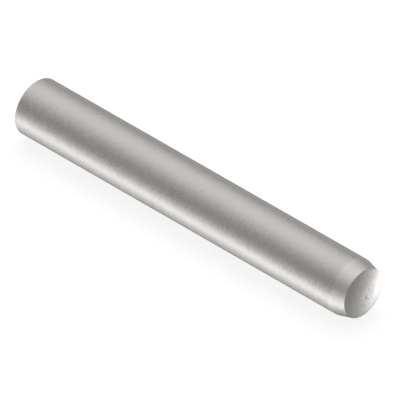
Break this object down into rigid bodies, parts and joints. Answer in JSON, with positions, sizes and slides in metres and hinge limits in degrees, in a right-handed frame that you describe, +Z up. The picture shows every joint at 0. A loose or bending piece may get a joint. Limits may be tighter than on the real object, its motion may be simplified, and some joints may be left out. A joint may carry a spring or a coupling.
{
  "type": "dowel pin",
  "caption": "Solid steel dowel pin: a ground parallel shank with a short tapered lead-in and a crowned nose at one end, and a plain crowned end at the other.",
  "frame": {"origin": "on the pin's axis, at the middle of its overall length", "axes": "+X along the pin's axis, towards the tapered lead-in end; +Z up as the pin is held level"},
  "size_m": [0.045, 0.006, 0.006],
  "materials": {
    "ground_steel": "satin, centreless ground"
  },
  "bodies": {
    "root": {"dowel_pin": "ground_steel"}
  },
  "joints": []
}
